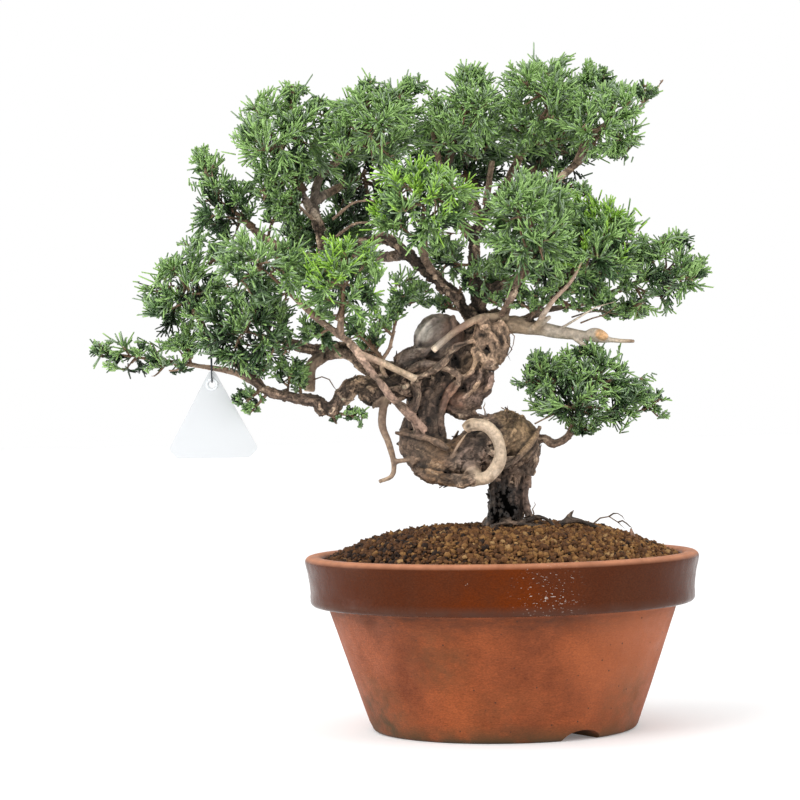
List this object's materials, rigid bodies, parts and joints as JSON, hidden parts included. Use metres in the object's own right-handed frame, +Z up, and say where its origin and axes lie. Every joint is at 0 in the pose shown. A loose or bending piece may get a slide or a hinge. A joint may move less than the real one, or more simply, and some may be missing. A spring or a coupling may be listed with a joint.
{
  "type": "bonsai juniper in a round clay pot",
  "caption": "Bonsai juniper with a looped trunk, dead stubs and masses of fine thread-like foliage, standing in a round clay pot with a brown glazed rim and a blank plant label.",
  "frame": {"origin": "centre of the pot's flat underside, which is the base mount", "axes": "+Z up, -Y towards the side that the picture shows as the front, +X to the right in that view"},
  "size_m": [0.4122, 0.27, 0.459],
  "materials": {
    "pot_clay": "matt fired clay with dark weathering",
    "rim_glaze": "glossy brown glaze on the rim band",
    "soil": "loose fired clay granules, damp",
    "bark": "flaking bark",
    "deadwood": "bare weathered wood",
    "foliage": "fine green scale leaves",
    "tag_card": "smooth white plastic",
    "tie_wire": "dull dark wire"
  },
  "bodies": {
    "root": {"apex_bough": "bark", "apex_mass": "foliage", "back_left_bough": "bark", "back_left_mass": "foliage", "back_right_bough": "bark", "back_right_mass": "foliage", "back_right_top_bough": "bark", "back_right_top_mass": "foliage", "back_top_bough": "bark", "back_top_mass": "foliage", "back_upper_left_bough": "bark", "back_upper_left_mass": "foliage", "centre_left_mass": "foliage", "centre_left_spur": "bark", "centre_mass": "foliage", "centre_spur": "bark", "centre_tuft": "foliage", "cross_jin": "deadwood", "curl_jin": "deadwood", "far_left_bough": "bark", "far_left_mass": "foliage", "far_right_mass": "foliage", "finger_mass": "foliage", "finger_twig": "bark", "front_left_mass": "foliage", "hanging_jin": "deadwood", "left_arch_bough": "bark", "left_fork_bough": "bark", "left_shoot_mass": "foliage", "left_upright_bough": "bark", "low_left_bough": "bark", "low_left_mass": "foliage", "low_right_mass": "foliage", "low_right_twig": "bark", "middle_mass": "foliage", "middle_spur": "bark", "outer_left_bough": "bark", "pot": "pot_clay", "rear_left_bough": "bark", "rear_left_stub": "deadwood", "right_bough": "bark", "right_dead_bough": "deadwood", "right_pad_mass": "foliage", "right_pad_spur": "bark", "right_top_bough": "bark", "right_top_mass": "foliage", "right_top_spur": "bark", "sloping_bough": "bark", "sloping_stub": "deadwood", "soil": "soil", "tag": "tag_card", "tag_tie": "tie_wire", "top_bough": "bark", "top_centre_mass": "foliage", "top_left_mass": "foliage", "trunk": "bark", "tuft_twig": "bark", "upper_left_mass": "foliage"}
  },
  "joints": []
}
